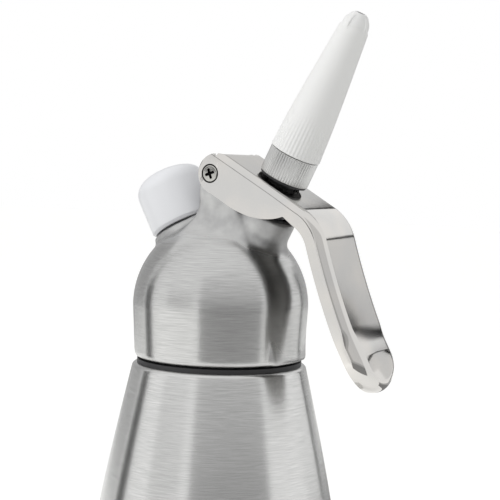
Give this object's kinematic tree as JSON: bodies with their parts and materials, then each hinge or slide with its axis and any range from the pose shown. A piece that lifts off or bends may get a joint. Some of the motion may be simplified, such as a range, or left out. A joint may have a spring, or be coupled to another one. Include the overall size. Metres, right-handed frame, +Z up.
{
  "type": "whipped cream dispenser",
  "caption": "Brushed aluminium bottle with a screw-on dome head, a squeeze lever over a sprung valve, a slanted white nozzle tip and a capped charger port.",
  "frame": {"origin": "centre of the bottle's base, on the surface it stands on", "axes": "+Z up along the bottle, +X towards the lever and the nozzle, Y = 0 is the plane of symmetry"},
  "size_m": [0.1248, 0.102, 0.3425],
  "materials": {
    "bottle_aluminium": "turned and brushed, satin",
    "head_aluminium": "cast, turned and brushed, satin",
    "polished_steel": "pressed stainless steel, polished",
    "steel": "machined stainless steel",
    "screw_steel": "plated cross-head screw",
    "knurled_steel": "straight knurled, satin",
    "brass": "machined",
    "black_rubber": "moulded, matt",
    "black_plastic": "moulded, black",
    "nylon": "natural nylon, moulded",
    "white_plastic": "white, moulded, fine ribs at the foot",
    "cap_plastic": "white, moulded, slightly cool"
  },
  "bodies": {
    "bottle": {"bottle": "bottle_aluminium", "neck_ring": "black_rubber"},
    "neck_seal": {"head_gasket": "black_rubber"},
    "head": {"head_body": "head_aluminium", "pivot_axle": "steel", "pivot_washers": "nylon", "pivot_screws": "screw_steel", "stem_guide": "brass", "guide_o_ring": "black_rubber", "valve_spring": "steel", "charger_nipple": "steel", "nipple_washer": "black_rubber", "pierce_pin": "steel", "check_valve_seal": "black_rubber"},
    "lever": {"lever": "polished_steel"},
    "valve": {"valve_stem": "steel", "press_collar": "black_plastic", "collar_seal": "black_rubber", "nozzle_adapter": "knurled_steel", "poppet_seal": "black_rubber", "poppet_nut": "steel"},
    "tip_seal": {"tip_gasket": "nylon"},
    "tip": {"nozzle_tip": "white_plastic"},
    "liner": {"cap_liner": "nylon"},
    "cap": {"charger_cap": "cap_plastic"}
  },
  "joints": [
    {"name": "head_lift", "type": "slide", "parent": "bottle", "child": "neck_seal", "axis": [0, 0, 1], "range_m": [0, 0.0181]},
    {"name": "head_turn", "type": "hinge", "parent": "neck_seal", "child": "head", "pos_m": [0, 0, 0.2262], "axis": [0, 0, 1], "range_deg": [0, 1620]},
    {"name": "lever_squeeze", "type": "hinge", "parent": "head", "child": "lever", "pos_m": [0.0029, 0, 0.2788], "axis": [0, 1, 0], "range_deg": [0, 6.5], "stiffness_Nm_per_rad": 5},
    {"name": "valve_press", "type": "slide", "parent": "head", "child": "valve", "axis": [-0.4446, 0, -0.8957], "range_m": [0, 0.002], "deforming": ["valve_spring"]},
    {"name": "tip_lift", "type": "slide", "parent": "valve", "child": "tip_seal", "axis": [0.4446, 0, 0.8957], "range_m": [0, 0.0101]},
    {"name": "tip_turn", "type": "hinge", "parent": "tip_seal", "child": "tip", "pos_m": [0.0322, 0, 0.28767], "axis": [0.4446, 0, 0.8957], "range_deg": [0, 1800]},
    {"name": "cap_lift", "type": "slide", "parent": "head", "child": "liner", "axis": [-0.4695, 0, 0.8829], "range_m": [0, 0.0126]},
    {"name": "cap_turn", "type": "hinge", "parent": "liner", "child": "cap", "pos_m": [-0.01676, 0, 0.25772], "axis": [-0.4695, 0, 0.8829], "range_deg": [0, 1800]}
  ],
  "couplings": [
    {"joint": "head_lift", "follows": "head_turn", "m_per_rad": 0.00063662},
    {"joint": "valve_press", "follows": "lever_squeeze", "m_per_rad": 0.017301},
    {"joint": "tip_lift", "follows": "tip_turn", "m_per_rad": 0.00031831},
    {"joint": "cap_lift", "follows": "cap_turn", "m_per_rad": 0.00039789}
  ]
}
